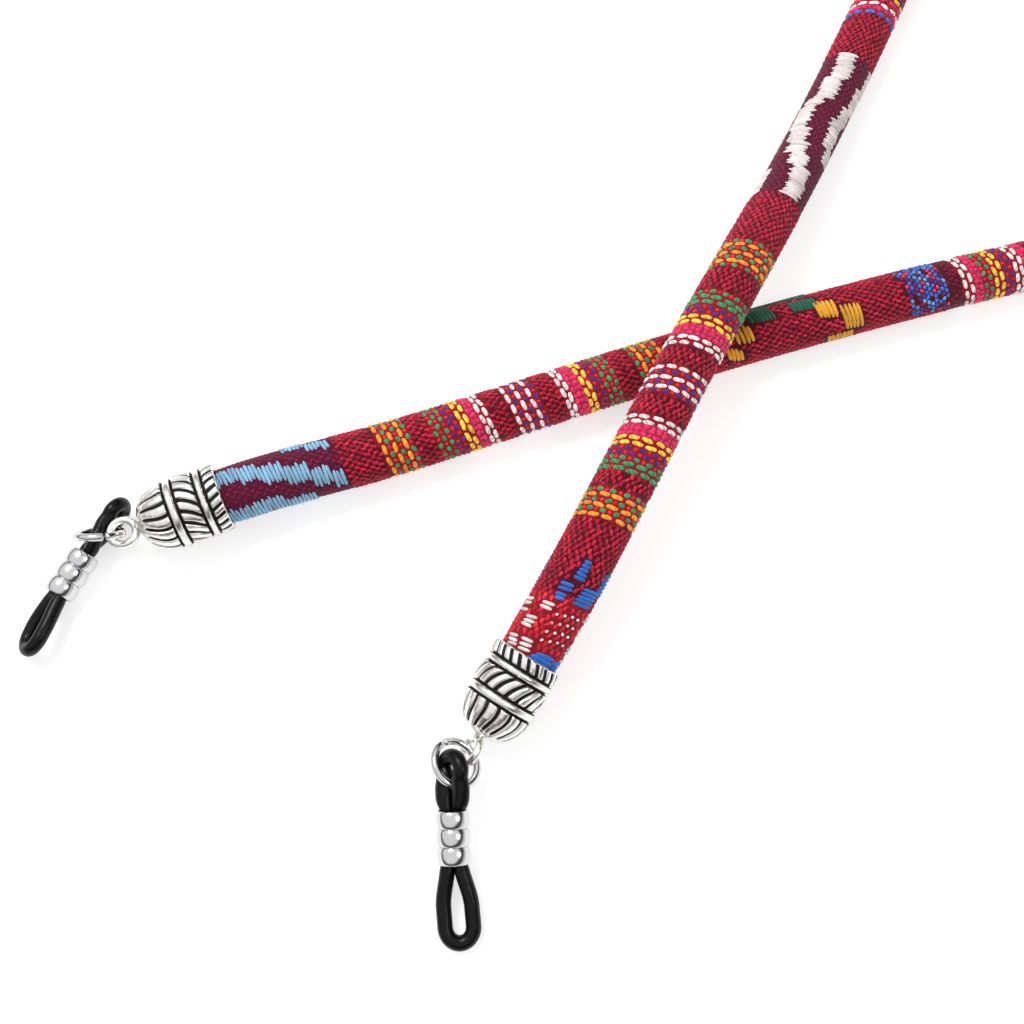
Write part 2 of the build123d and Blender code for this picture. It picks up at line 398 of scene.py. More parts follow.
bands = {
    # distance from, to, ground colour
    "left": [(0, 18.6, "burgundy"), (18.6, 91, "crimson"), (91, 93, "burgundy"), (93, 105, "crimson")],
    "right": [(0, 12.5, "scarlet"), (12.5, 66.6, "crimson"), (66.6, 92, "burgundy"), (92, 105, "crimson")],
    "repeat": 104.0,  # the unseen middle repeats the left leg's pattern at this spacing
    "repeats": 4,
    "rightLeg": 105,  # length of the right leg's pattern
}


def legPlace(level):
    # whether a distance lies in the repeated left pattern, and the distance from that pattern's own end
    length = strapLength / mm
    inLeft = level < length - bands["rightLeg"]
    return inLeft, np.where(inLeft, level % bands["repeat"], length - level)


stitchParts = {"dash": [], "satin": []}


def addStitches(kind, distance, around, acrossLength, alongLength, height, colour, shape, skew=True):
    # keeps a set of stitches as rows of: distance, around, half length, half width, height, shape, red, green, blue
    distance, around, acrossLength = np.broadcast_arrays(np.atleast_1d(distance) * 1.0, around, acrossLength)
    slant = weave["slant"] * around if skew else 0.0
    rows = np.stack([
        distance + slant, around, acrossLength / 2, np.full(distance.shape, alongLength / 2),
        np.full(distance.shape, height), np.full(distance.shape, shape),
    ], -1)
    shade = np.clip(rng.normal(1.0, weave["shadeSpread"], distance.shape), *weave["shadeLimits"])
    tint = np.array(yarn[colour])[None] * shade[:, None]
    lean = rng.normal(0, weave["leanSpread"], (len(distance), 1))
    stitchParts[kind].append(np.concatenate([rows, tint, lean], 1))


def addRow(distance, colour, kind, half):
    # one row of floats right round the strap
    count = weave["around"]
    around = (np.arange(count) + 0.25 + 0.5 * half) * weave["pitch"] - math.pi * section["mean"]
    length, height, shape = [weave[kind + measure] for measure in ("Length", "Height", "Shape")]
    lengths = length * rng.uniform(*weave["rowSpread"], count)
    places = distance + rng.normal(0, weave["rowWander"][0], count)
    around = around + rng.normal(0, weave["rowWander"][1], count)
    addStitches("dash", places, around, lengths, weave["dashWidth"], height, colour, shape)
    if kind == "dot":  # the ground's own red comes up between the dots
        between = "pink" if colour == "pink" else "vermilion"
        addStitches("dash", places, around + 0.5 * weave["pitch"], weave["betweenLength"] * lengths,
                    weave["betweenWidth"], weave["betweenHeight"], between, shape)


def addSatin(start, end, steps, length, colour, offset=0.0):
    # a zigzag stripe of long floats side by side; every few floats its middle moves by a step
    distance = np.arange(start, end, weave["satinPitch"])
    starts = np.array([step[0] for step in steps])
    centres = np.array([step[1] for step in steps])
    centre = centres[np.clip(np.searchsorted(starts, distance, side="right") - 1, 0, len(steps) - 1)]
    rag = weave["satinRag"] * (-1.0) ** np.arange(len(distance))
    lengths = length * (rng.uniform(*weave["satinSpread"], distance.shape) + rag)
    centre = centre + rng.normal(0, weave["satinWander"], distance.shape)
    addStitches("satin", distance + offset, centre, lengths, weave["satinWidth"], weave["satinHeight"], colour,
                weave["satinShape"])


def addPatch(kind, cells, colour, length, sign=1.0, origin=0.0, direction=1.0, width=0.5, height=0.3, shape=4.0):
    # floats one by one, each given by its distance, its place round the strap and, where needed, its own length
    for cell in cells:
        own = cell[2] if len(cell) > 2 else length
        addStitches(kind, origin + direction * cell[0], np.array([sign * cell[1]]), own, width, height, colour, shape,
                    skew=False)


# zigzag stripes: from, to, the length of their floats, and their middle at each step
blueZigzag = [
    (4.8, 18.4, 2.45, [(5.0, -1.1), (7.9, -0.6), (10.1, 0.2), (12.7, 1.1), (14.9, 2.1), (17.0, 3.0)]),
    (4.8, 14.6, 2.9, [(5.0, 4.4), (8.0, 4.2), (11.4, 5.2)]),
    (13.4, 18.2, 1.75, [(13.0, -2.9), (15.6, -2.0), (17.2, -1.6)]),
    (4.8, 18.4, 2.3, [(4.8, -7.6), (9.5, -6.8), (14.0, -6.0)]),
    (7.0, 18.4, 1.9, [(7.0, 8.6), (12.5, 7.8)]),
]
whiteZigzag = [
    (66.8, 92.0, 2.75, [(66.8, -1.25), (69.4, -0.95), (72.0, 0.0), (74.2, 1.0), (76.4, 1.7), (78.8, 2.4), (83.0, 1.8),
                        (84.2, 0.8), (88.2, 0.2), (90.6, 0.5)]),
    (74.8, 91.5, 2.3, [(74.8, -3.6), (77.2, -2.7), (79.6, -2.4), (81.6, -3.0), (84.0, -3.6), (88.0, -4.5)]),
    (66.8, 71.2, 1.6, [(66.8, 3.5)]),
    (67.0, 92.0, 2.2, [(68.0, 6.2), (76.0, 5.4), (84.0, 6.4)]),
]
flower = {
    "from": 86.5,
    "rows": 10,
    "rowStep": 0.48,
    "dots": 13,
    "dotStep": 0.66,
    "firstDot": -3.6,
    "thinning": 0.10,  # fewer dots towards its first and last row
    "colours": [(0, 0.42, "royalBlue"), (0.42, 0.62, "paleBlue"), (0.62, 0.84, "purple"), (0.84, 0.94, "pink")],
}


def weaveLeft(start, blue="skyBlue"):
    # the pattern of the left leg, counted from its end of the strap
    for low, high, length, steps in blueZigzag:
        addSatin(low, high, steps, length, blue, offset=start)
    for distance, colour, kind, half in leftRows:
        addRow(start + distance, colour, kind, half)
    gold = [(64.3, 2.6, 2.0), (64.8, 2.9, 2.0), (65.3, 3.1, 2.0), (65.8, 3.3, 1.6), (65.6, 0.6, 2.6),
            (66.2, 0.7, 2.6), (66.8, 0.8, 2.6), (67.3, 0.9, 2.2)]
    green = [(67.8 + 0.42 * k, -1.7 + 0.05 * k, 3.1) for k in range(7)]
    green += [(69.0 + 0.44 * k, -3.4, 1.4) for k in range(15)]
    green += [(73.0 + 0.43 * k, -1.1 + 0.04 * k, 1.9) for k in range(7)]
    gold += [(75.7, 0.2, 2.6), (76.15, 0.3, 2.6), (76.6, 0.4, 2.6), (77.1, 0.5, 2.6), (77.6, 0.6, 2.6)]
    gold += [(78.6 + 0.47 * k, 2.1 + 0.05 * k, 3.6) for k in range(5)]
    gold += [(76.8 + 0.45 * k, 4.9, 1.6) for k in range(7)]
    addPatch("satin", gold, "gold", 2.4, origin=start, width=0.5, height=0.3)
    addPatch("satin", green, "darkGreen", 2.4, origin=start, width=0.5, height=0.3)
    for shift in (-8.4, 8.4):  # the same motif again on the underside
        lowerGold = [(64 + 0.45 * k, shift, 2.2) for k in range(8)]
        lowerGreen = [(70 + 0.45 * k, shift * 0.9, 2.4) for k in range(9)]
        addPatch("satin", lowerGold, "gold", 2.2, origin=start, width=0.5)
        addPatch("satin", lowerGreen, "darkGreen", 2.2, origin=start, width=0.5)
    middle = (flower["rows"] - 1) / 2
    for k in range(flower["rows"]):  # a mottled blue flower of small dots
        around = (np.arange(flower["dots"]) + 0.5 * (k % 2)) * flower["dotStep"] + flower["firstDot"]
        pick = rng.uniform(0, 1, around.shape) + flower["thinning"] * np.abs(k - middle) / middle
        for low, high, colour in flower["colours"]:
            chosen = around[(pick >= low) & (pick < high)]
            place = start + flower["from"] + flower["rowStep"] * k
            addStitches("dash", place, chosen, 0.62, 0.5, 0.16, colour, 2.4)


def weaveRight():
    # the pattern of the right leg; its distances run from the other end of the strap
    length = strapLength / mm
    for distance, colour, kind, half in rightRows:
        addRow(length - distance, colour, kind, half)
    at = {"origin": length, "direction": -1.0, "sign": -1.0}
    mouth = [(5.1 + 0.45 * k, x, 1.8) for k in range(4) for x in (0.6 + 0.35 * k, 2.2, 3.8)]
    addPatch("satin", mouth, "royalBlue", 1.8, **at)
    white = [(11.3, -0.7), (10.8, -0.75), (9.25, -1.6), (8.75, -1.65), (8.3, -1.7), (7.0, -0.7), (6.5, -0.6),
             (6.0, -0.5), (6.75, -2.5), (6.3, -2.3), (5.9, -2.1), (10.9, -3.3), (10.4, -3.25), (9.6, -3.2),
             (12.2, 5.0, 1.6), (11.7, 4.9, 1.6), (10.5, 5.0), (10.0, 5.0), (8.4, 4.8), (7.9, 4.8), (6.9, 4.8),
             (6.4, 4.7)]
    addPatch("satin", white, "white", 1.45, width=0.42, height=0.28, **at)
    dots = [(w, x) for w, x in zip(np.tile([8.0, 9.0, 10.0, 11.0], 4), np.repeat([0.6, 1.4, 2.2, 3.0], 4))]
    addPatch("dash", [(w + 0.35 * math.sin(9 * x), x) for w, x in dots], "white", 0.36, width=0.36, height=0.24,
             shape=2.0, **at)
    petals = [(13.9, 0.0, 1.5), (13.4, 0.05, 1.6), (12.7, -0.1, 1.2), (12.3, 0.0, 1.0)]
    petals += [(15.0 + 0.45 * k, 0.8, 1.3 - 0.12 * k) for k in range(5)]
    petals += [(12.8 + 0.42 * k, 2.6 + 0.1 * k, 2.7) for k in range(5)]
    petals += [(14.6 + 0.43 * k, 4.3, 1.7) for k in range(6)]
    petals += [(12.8 + 0.43 * k, -5.6, 2.2) for k in range(8)] + [(12.8 + 0.43 * k, 7.4, 2.2) for k in range(8)]
    addPatch("satin", petals, "royalBlue", 1.5, width=0.46, height=0.28, **at)
    for low, high, size, middles in whiteZigzag:
        stops = [place for place, _ in middles[1:]] + [high]
        steps = [(length - stop, middle) for (_, middle), stop in zip(middles, stops)][::-1]
        addSatin(length - high, length - low, steps, size, "white")


weaveLeft(0.0)
for turn in range(bands["repeats"]):
    weaveLeft(bands["repeat"] * (turn + 1), blue=("white", "skyBlue")[turn % 2])
weaveRight()
print("stitches laid out", {kind: sum(len(rows) for rows in sets) for kind, sets in stitchParts.items()})


def pads(rows, alongAcross, acrossPoints, alongPoints):
    # each stitch is a small raised pad: its height falls as 1 minus a power of the place along it and as 1 minus the
    # square of the place across it, its width narrows to its ends, and its edge sinks into the cloth
    distance, around, halfLength, halfWidth, height, shape = [rows[:, k, None, None] for k in range(6)]
    a = np.array(acrossPoints)[None, :, None]
    b = np.array(alongPoints)[None, None, :]
    narrow = 1 - weave["narrowing"] * np.abs(a) ** (shape * 1.5)
    lean = rows[:, 9, None, None] * a
    lift = (height + weave["sink"]) * (1 - np.abs(a) ** shape) * (1 - b * b) ** 0.8 - weave["sink"]
    overAround = around + a * halfLength if alongAcross else around + b * halfWidth * narrow
    overAround = overAround + (0 if alongAcross else 1.6 * lean)
    overDistance = distance + b * halfWidth * narrow + lean if alongAcross else distance + a * halfLength
    tilt = weave["slant"] * (overAround - around)
    shapeOf = np.broadcast(overAround, overDistance, lift)
    overAround, overDistance, lift = [np.broadcast_to(v, shapeOf.shape) for v in (overAround, overDistance, lift)]
    points = onStrap((overDistance + tilt) * mm, overAround * mm, lift * mm)
    seed = np.arange(len(rows))[:, None, None] * 0.37  # so that no two stitches share their plies
    uvs = np.stack(np.broadcast_arrays(a * halfLength + seed, b * halfWidth + 0 * a), -1)
    tint = np.concatenate([rows[:, 6:9], np.ones((len(rows), 1))], 1)
    tint = np.broadcast_to(tint[:, None, None, :], (*points.shape[:3], 4))
    return (points, uvs, tint) if not alongAcross else (points[:, :, ::-1], uvs[:, :, ::-1], tint)


def yarnPieces(name, rows, alongAcross, acrossPoints, alongPoints, most):
    # the pads of one kind, in as few pieces as keep each under the limit of triangles
    made = []
    pieces = max(1, math.ceil(len(rows) / most))
    for index, share in enumerate(np.array_split(rows, pieces)):
        points, uvs, tint = pads(share, alongAcross, acrossPoints, alongPoints)
        title = name if pieces == 1 else f"{name}{index + 1}"
        piece = meshFromGrids(title, points, uvs, attributes={"tint": tint})
        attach(piece, "strap")
        made.append(piece)
    return made


dashRows = np.concatenate(stitchParts["dash"])
satinRows = np.concatenate(stitchParts["satin"])
lowest, highest = 1.0, strapLength / mm - 1.0
dashRows = dashRows[(dashRows[:, 0] > lowest) & (dashRows[:, 0] < highest)]
satinRows = satinRows[(satinRows[:, 0] > lowest) & (satinRows[:, 0] < highest)]


def coveredCells():
    # a raster of the strap's skin that marks where floats lie
    cell = 0.2
    size = (int(strapLength / mm / cell) + 2, int(2 * math.pi * section["mean"] / cell) + 1)
    covered = np.zeros(size, bool)
    steps = np.linspace(-1, 1, 13)
    a, b = np.meshgrid(steps, steps[::2])
    for rows in (dashRows, satinRows):
        overAround = rows[:, 1, None, None] + a * rows[:, 2, None, None]
        overDistance = rows[:, 0, None, None] + b * (rows[:, 3, None, None] + 0.12)
        overDistance = overDistance + weave["slant"] * (overAround - rows[:, 1, None, None])
        first = np.clip((overDistance / cell).astype(int), 0, size[0] - 1)
        second = ((overAround / cell).astype(int)) % size[1]
        covered[first.ravel(), second.ravel()] = True
    return covered, cell


ground = {
    "around": 26,
    "jitter": 0.03,
    "shades": (-0.42, 0.34),  # how much darker or lighter single yarns are
    "burgundySpread": 0.4,
    "burgundyHeight": 0.06,
    "brightFrom": 0.86,  # the rest of the yarns, up to 1, are brighter
    "bright": [1.15, 1.6, 1.3],
}


def groundRows():
    # the ground weave: small pads in brick order, left out under floats, in the ground colour of their band
    count = ground["around"]
    pitch = 2 * math.pi * section["mean"] / count
    rowNumbers = np.arange(int(strapLength / mm / weave["rowStep"]))
    number, column = np.meshgrid(rowNumbers, np.arange(count), indexing="ij")
    around = (column + 0.5 * (number % 2)) * pitch - math.pi * section["mean"]
    around = around + rng.normal(0, ground["jitter"], number.shape)
    distance = (number + 0.5) * weave["rowStep"] + weave["slant"] * around
    distance = distance + rng.normal(0, ground["jitter"], number.shape)
    distance, around = distance.ravel(), around.ravel()
    covered, cell = coveredCells()
    first = np.clip((distance / cell).astype(int), 0, covered.shape[0] - 1)
    second = (around / cell).astype(int) % covered.shape[1]
    level = distance - weave["slant"] * around
    keep = ~covered[first, second] & (distance > lowest) & (distance < highest)
    distance, around, level = distance[keep], around[keep], level[keep]
    inLeft, place = legPlace(level)
    tint = np.zeros((len(place), 3))
    burgundy = np.zeros(len(place), bool)
    for side, mask in (("left", inLeft), ("right", ~inLeft)):
        for low, high, colour in bands[side]:
            here = mask & (place >= low) & (place < high + 2)
            tint[here] = yarn[colour]
            burgundy[here] = colour == "burgundy"
    redder = rng.uniform(0, 1, len(place)) * ~burgundy
    spread = np.where(burgundy, ground["burgundySpread"], 1.0)[:, None]
    tint = tint * (1 + spread * rng.uniform(*ground["shades"], (len(place), 1)))
    tint[redder > ground["brightFrom"]] *= np.array(ground["bright"])
    size = rng.uniform(0.88, 1.1, len(place))
    rows = np.stack([
        distance, around, weave["seedLength"] / 2 * size, np.full(len(place), weave["seedWidth"] / 2),
        np.where(burgundy, ground["burgundyHeight"], weave["seedHeight"]) * size, np.full(len(place), 2.2),
    ], -1)
    lean = rng.normal(0.05, 0.04, (len(place), 1)) * np.where(number.ravel()[keep] % 2, 1, -1)[:, None]
    return np.concatenate([rows, tint, lean], 1)


seedRows = groundRows()
groundPieces = yarnPieces("groundWeave", seedRows, False, [-1, -0.6, 0, 0.6, 1], [-1, -0.4, 0.4, 1], 8200)
dashPieces = yarnPieces("weftFloats", dashRows, True, [-1, -0.82, -0.4, 0, 0.4, 0.82, 1], [-1, -0.45, 0.45, 1], 5400)
satinPieces = yarnPieces("satinFloats", satinRows, True, [-1, -0.9, -0.6, 0, 0.6, 0.9, 1], [-1, -0.45, 0.45, 1], 5400)
print("yarn", len(seedRows), len(dashRows), len(satinRows))


cloth = {
    "deep": (*fromScreen(84, 10, 28), 1.0),
    "underSatin": (*fromScreen(88, 14, 44), 1.0),
    "nearCap": (*fromScreen(140, 18, 34), 1.0),
    "underRows": (*fromScreen(146, 22, 38), 1.0),
    "underPink": (*fromScreen(176, 34, 78), 1.0),
    "leftSatin": (4, 18.5),  # where each leg has satin, in mm from its end
    "rightSatin": (66.8, 92),
    "nearCapTo": 12.8,
    "rowReach": 0.42,
    "pinkReach": 0.4,
}


def clothColour(distance, around):
    # the cloth under the yarns: bright red under the rows of dashes, deep red elsewhere, darker under the satin
    level = distance / mm - weave["slant"] * around / mm
    inLeft, place = legPlace(level)
    tint = np.tile(np.array(cloth["deep"]), (*level.shape, 1))
    for mask, rows, (low, high) in ((inLeft, leftRows, cloth["leftSatin"]), (~inLeft, rightRows, cloth["rightSatin"])):
        tint[mask & (place > low) & (place < high)] = cloth["underSatin"]
        tint[mask & ~inLeft & (place < cloth["nearCapTo"])] = cloth["nearCap"]
        pinkRows = np.array([row[0] for row in rows if row[1] == "pink"])
        near = np.min(np.abs(place[..., None] - np.array([row[0] for row in rows])), -1)
        tint[mask & (near < cloth["rowReach"])] = cloth["underRows"]
        tint[mask & (np.min(np.abs(place[..., None] - pinkRows), -1) < cloth["pinkReach"])] = cloth["underPink"]
    return tint


def tube(name, distances, radiusScale, count, twist=0.0, ripple=0.0, ripples=0):
    # a closed skin carried along the strap's line, scaled from the oval section, with optional twisted ridges
    turn = np.arange(count) * 2 * math.pi / count
    scale = np.full(len(distances), radiusScale)
    scale = np.concatenate([[0.0, radiusScale * 0.8], scale, [radiusScale * 0.8, 0.0]])
    distances = np.concatenate([[distances[0]] * 2, distances, [distances[-1]] * 2])
    centre, side, up = frameAlong(distances)
    halfWidth = np.interp(distances / mm, section["at"], section["halfWidth"]) * mm
    ridge = 1 + ripple * np.cos(ripples * turn[None] + twist * distances[:, None])
    ridge = ridge * scale[:, None]
    sideways = halfWidth[:, None] * np.sin(turn) * ridge
    upward = section["halfHeight"] * mm * np.cos(turn) * ridge
    points = centre[:, None] + side[:, None] * sideways[..., None] + up[:, None] * upward[..., None]
    uvs = np.stack(np.broadcast_arrays(turn[None] / (2 * math.pi), distances[:, None] * 50), -1)
    around = np.where(turn > math.pi, turn - 2 * math.pi, turn) * section["mean"] * mm
    tint = clothColour(*np.broadcast_arrays(distances[:, None], around[None]))
    return meshFromGrids(name, points[None, :, ::-1], uvs[None, :, ::-1], True, {"tint": tint[:, ::-1]})


fillerShape = {"radiusScale": 0.84, "count": 30, "twist": 900.0, "ripple": 0.05, "ripples": 6}
strapTube = tube("wovenTube", np.arange(0.0003, strapLength - 0.0002, 0.0005), 1.0, 44)
filler = tube("fillerCord", np.arange(0.0008, strapLength - 0.0008, 0.0008), **fillerShape)
for piece, slot in ((strapTube, "woven_cotton"), (filler, "filler_cotton")):
    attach(piece, "strap")
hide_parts("strap_cover_left", "strap_cover_right", "strap_coil")
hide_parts("filler_cord_left", "filler_cord_right")
print("tube made")


# the two ends, as they lie on the table: places in mm, turns in degrees
ends = {
    "left": {
        "eye": (-18.2, 17.6, 4.0), "heading": 21.5, "pitch": 0, "eyeRoll": 0,
        "ringHeading": 191, "ringPitch": 17, "ringLean": (0.103, -0.530, 1.0),
        "loopTop": (-19.05, 21.3, 2.55), "loopHeading": [(0, 238), (6, 238), (12, 243), (18.4, 251)],
        "loopPitch": [(0, -2.6), (18.4, -2.0)],
        "loopRoll": [(0, -90), (3, -90), (5.2, -66), (7.5, -30), (18.4, -45)],
        "sleeveStart": 6.6, "upperOffset": 1.45, "squeeze": 0.52,
    },
    "right": {
        "eye": (19.7, -5.8, 2.6), "heading": 57, "pitch": 13, "eyeRoll": 55,
        "ringHeading": 227, "ringPitch": 31, "ringLean": (-0.711, 0.663, 0.235),
        "loopTop": (17.95, -6.8, 5.33), "loopHeading": [(0, 270.5), (6, 270.5), (12, 275.5), (18.4, 275.5)],
        "loopPitch": [(0, -15.2), (6, -15.2), (18.4, -12)],
        "loopRoll": [(0, -50), (1.5, -50), (5.2, -20), (18.4, 0)],
        "sleeveStart": 5.35, "upperOffset": 1.46, "squeeze": 0.62,
    },
}


def direction(heading, pitch):
    # unit vectors at headings in the floor's plane, raised by pitches, both in degrees
    heading, pitch = np.radians(heading), np.radians(pitch)
    return np.stack([np.cos(heading) * np.cos(pitch), np.sin(heading) * np.cos(pitch), np.sin(pitch)], -1)


def capFrame(end):
    # the eye's middle, then across the eye's plane, across its wire plane, and towards the mouth
    axis = direction(end["heading"], end["pitch"])
    side = unit(np.cross([0.0, 0.0, 1.0], axis))
    up = np.cross(axis, side)
    roll = math.radians(end["eyeRoll"])
    normal = up * math.cos(roll) + side * math.sin(roll)
    across = np.cross(normal, axis)
    return np.array(end["eye"]), across, np.cross(axis, across), axis


def ringFrame(end):
    away = direction(end["ringHeading"], end["ringPitch"])
    middle = np.array(end["eye"]) + away * ring["radius"]
    normal = unit(np.cross(away, end["ringLean"]))
    return middle, away, np.cross(normal, away), normal


def placed(points, pose):
    # points in a frame's own millimetres, moved to their place, in metres
    origin, x, y, z = pose
    return (origin + points[..., :1] * x + points[..., 1:2] * y + points[..., 2:3] * z) * mm


def addPiece(name, points, pose, body, uvs=None, attributes=None, flip=False):
    points = placed(points, pose) if pose is not None else points
    points = points[:, ::-1] if flip else points
    piece = meshFromGrids(name, points[None], uvs, True, attributes)
    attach(piece, body)
    return piece


cap = {
    # height from the eye and radius, in mm, along the outline from the tip to the mouth and back into the bore
    "outline": [
        (1.35, 0.0), (1.36, 0.55), (1.55, 0.72), (1.80, 0.80), (1.95, 1.0), (2.02, 1.5), (2.25, 2.05), (2.65, 2.55),
        (3.2, 3.0), (3.9, 3.4), (4.7, 3.68), (5.35, 3.78), (5.52, 3.70), (5.60, 3.46), (5.70, 3.46), (5.76, 3.76),
        (5.9, 3.9), (6.15, 3.95), (6.4, 3.9), (6.54, 3.76), (6.6, 3.44), (6.76, 3.44), (6.84, 3.72), (6.98, 3.84),
        (7.5, 3.88), (8.3, 3.88), (8.74, 3.84), (8.88, 3.72), (8.95, 3.44), (9.11, 3.44), (9.17, 3.76), (9.28, 3.89),
        (9.48, 3.94), (9.68, 3.89), (9.79, 3.76), (9.85, 3.44), (10.0, 3.44), (10.07, 3.7), (10.2, 3.83),
        (10.7, 3.87), (11.2, 3.83), (11.36, 3.74), (11.42, 3.6), (11.42, 3.42), (11.3, 3.3), (10.4, 3.3), (8.0, 3.3),
        (5.0, 3.3), (5.0, 0.0),
    ],
    "mouth": 11.42,  # height of the mouth's edge, where the outline turns back
    "outlineStep": 0.085,
    "columns": 288,
    # each band: how many grooves, their depth, and the heights over which the band fades in and out
    "ribs": (16, 0.30, (2.3, 3.0), (5.5, 5.6)),
    "leaves": (18, 0.30, (6.76, 6.86), (8.84, 8.95)),
    "notches": (22, 0.24, (9.98, 10.12), (11.22, 11.36)),
    "leafTurn": 0.163,  # radians of turn for each mm towards the mouth
    "notchTurn": -0.115,
    "leafMiddle": 7.86,
    "notchMiddle": 10.7,
    "ringGrooves": (5.65, 6.68, 9.03, 9.93),
    "ringGrooveWidth": 0.165,
    "ribSwell": 0.07,
    "leafSwell": 0.06,
    "unevenness": 0.010,
    "eyeRadius": 1.42,
    "eyeWire": 0.45,
    "eyeRows": 72,
    "eyeColumns": 24,
}


def capOutline():
    # the outline as a dense line: heights and radii against the distance along it
    corners = np.array(cap["outline"])
    reach = np.concatenate([[0], np.cumsum(np.linalg.norm(np.diff(corners, axis=0), axis=1))])
    fine = np.unique(np.concatenate([reach, np.arange(0, reach[-1], cap["outlineStep"])]))
    lastOuter = reach[[i for i, c in enumerate(corners) if c[0] >= cap["mouth"]][0]]
    fine = fine[(fine <= lastOuter + 0.6) | np.isin(fine, reach)]
    height = np.interp(fine, reach, corners[:, 0])
    radius = np.interp(fine, reach, corners[:, 1])
    outer = (fine <= lastOuter).astype(float)
    smooth = np.array([0.25, 0.5, 0.25])
    for values in (height, radius):
        values[1:-1] = np.where(outer[1:-1] > 0, np.convolve(values, smooth, "valid"), values[1:-1])
    return height, radius, outer


def grooveShape(phase, width):
    # 1 in the middle of a groove and 0 away from it; phase counts grooves, width is a share of their spacing
    distance = np.abs((phase + 0.5) % 1 - 0.5)
    return np.exp(-((distance / width) ** 4))


def step(values, low, high):
    share = np.clip((values - low) / (high - low), 0, 1)
    return share * share * (3 - 2 * share)


def capBand(height, band):
    # 1 where a band of the cap lies, fading to 0 at its edges
    _, _, (low, lowFull), (highFull, high) = cap[band]
    return step(height, low, lowFull) * (1 - step(height, highFull, high))


def capSurface(seedValue):
    # the outline turned about the axis; ribs, leaves and notches cut into it as slanted grooves of each band
    height, radius, outer = capOutline()
    turn = np.arange(cap["columns"]) * 2 * math.pi / cap["columns"]
    h, r = height[:, None], radius[:, None]
    outside = outer[:, None]
    local = np.random.default_rng(seedValue)
    wobble = sum(local.normal(0, cap["unevenness"]) * np.cos(k * turn + local.uniform(0, 6)) for k in range(2, 7))
    ribPhase = cap["ribs"][0] * (turn[None] + 0.10 * np.sin(h)) / (2 * math.pi) + 0.25
    inDome = capBand(h, "ribs") * outside
    ribs = grooveShape(ribPhase, 0.15 + 0.05 * (1 - step(h, 2.4, 4.2))) * inDome
    ribCrown = (1 - np.abs(np.cos(math.pi * ribPhase)) ** 2) * inDome
    inLeaf = capBand(h, "leaves") * outside
    past = h - cap["leafMiddle"]
    leafPhase = cap["leaves"][0] * (turn[None] - cap["leafTurn"] * past - 0.05 * past ** 2) / (2 * math.pi)
    leaves = grooveShape(leafPhase, 0.18) * inLeaf
    leafCrown = (1 - np.abs(np.cos(math.pi * leafPhase)) ** 3) * inLeaf
    notchPhase = cap["notches"][0] * (turn[None] - cap["notchTurn"] * (h - cap["notchMiddle"])) / (2 * math.pi) + 0.3
    notches = grooveShape(notchPhase, 0.215) * capBand(h, "notches") * outside
    deep = cap["ribs"][1] * ribs + cap["leaves"][1] * leaves + cap["notches"][1] * notches
    swell = cap["ribSwell"] * ribCrown + cap["leafSwell"] * leafCrown
    r = r * np.ones_like(turn)[None] + (wobble[None] * step(h, 2.0, 4.0) - deep + swell) * np.where(r > 0.3, 1, 0)
    points = np.stack([r * np.cos(turn), r * np.sin(turn), h * np.ones_like(turn)[None]], -1)
    ringGroove = sum(np.exp(-(((h - at) / cap["ringGrooveWidth"]) ** 4)) for at in cap["ringGrooves"]) * outside
    relief = 1 - np.clip(np.maximum(np.maximum(ribs, leaves), np.maximum(notches, ringGroove)), 0, 1)
    relief = relief * np.where((outside < 0.5) & (h < 11.2), 0.15, 1.0)
    return points, relief


def torusSurface(major, minor, rows, columns):
    # a circle of the wire's radius carried round a circle, in the frame's first and third directions
    around = np.arange(rows + 1) * 2 * math.pi / rows
    tube = np.arange(columns) * 2 * math.pi / columns
    reach = major + minor * np.cos(tube)[None]
    return np.stack([
        reach * np.cos(around)[:, None], minor * np.sin(tube)[None] * np.ones_like(around)[:, None],
        reach * np.sin(around)[:, None],
    ], -1)


capPieces, eyePieces = [], []
for side, end in ends.items():
    points, relief = capSurface(11 if side == "left" else 23)
    body = addPiece(f"bellCap_{side}", points, capFrame(end), "strap",
                    attributes={"relief": relief[..., None]})
    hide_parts(f"end_cap_{side}")
    capPieces.append(body)
    points = torusSurface(cap["eyeRadius"], cap["eyeWire"], cap["eyeRows"], cap["eyeColumns"])
    eye = addPiece(f"capEye_{side}", points, capFrame(end), "strap",
                   attributes={"relief": np.ones((*points.shape[:2], 1))})
    eyePieces.append(eye)
print("caps made")

ring = {"radius": 2.43, "wire": 0.42, "gapAt": 100.0, "gap": 3.0, "rows": 120, "columns": 20}


def ringSurface():
    # round wire carried round a circle that stops short of closing; its ends are rounded over
    gapStart = math.radians(ring["gapAt"])
    share = np.linspace(0, 1, ring["rows"] + 1)
    around = gapStart + share * math.radians(360 - ring["gap"])
    reachFromEnd = np.minimum(share, 1 - share) * math.radians(360 - ring["gap"]) * ring["radius"]
    wire = ring["wire"] * np.sqrt(np.clip(1 - (1 - np.clip(reachFromEnd / 0.2, 0, 1)) ** 2, 0, 1))
    tubeTurn = np.arange(ring["columns"]) * 2 * math.pi / ring["columns"]
    reach = ring["radius"] + wire[:, None] * np.cos(tubeTurn)
    return np.stack([reach * np.cos(around)[:, None], reach * np.sin(around)[:, None],
                     wire[:, None] * np.sin(tubeTurn)], -1)


ringPieces = []
for side, end in ends.items():
    piece = addPiece(f"splitRing_{side}", ringSurface(), ringFrame(end), f"ring_{side}", flip=True)
    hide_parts(f"split_ring_{side}")
    ringPieces.append(piece)

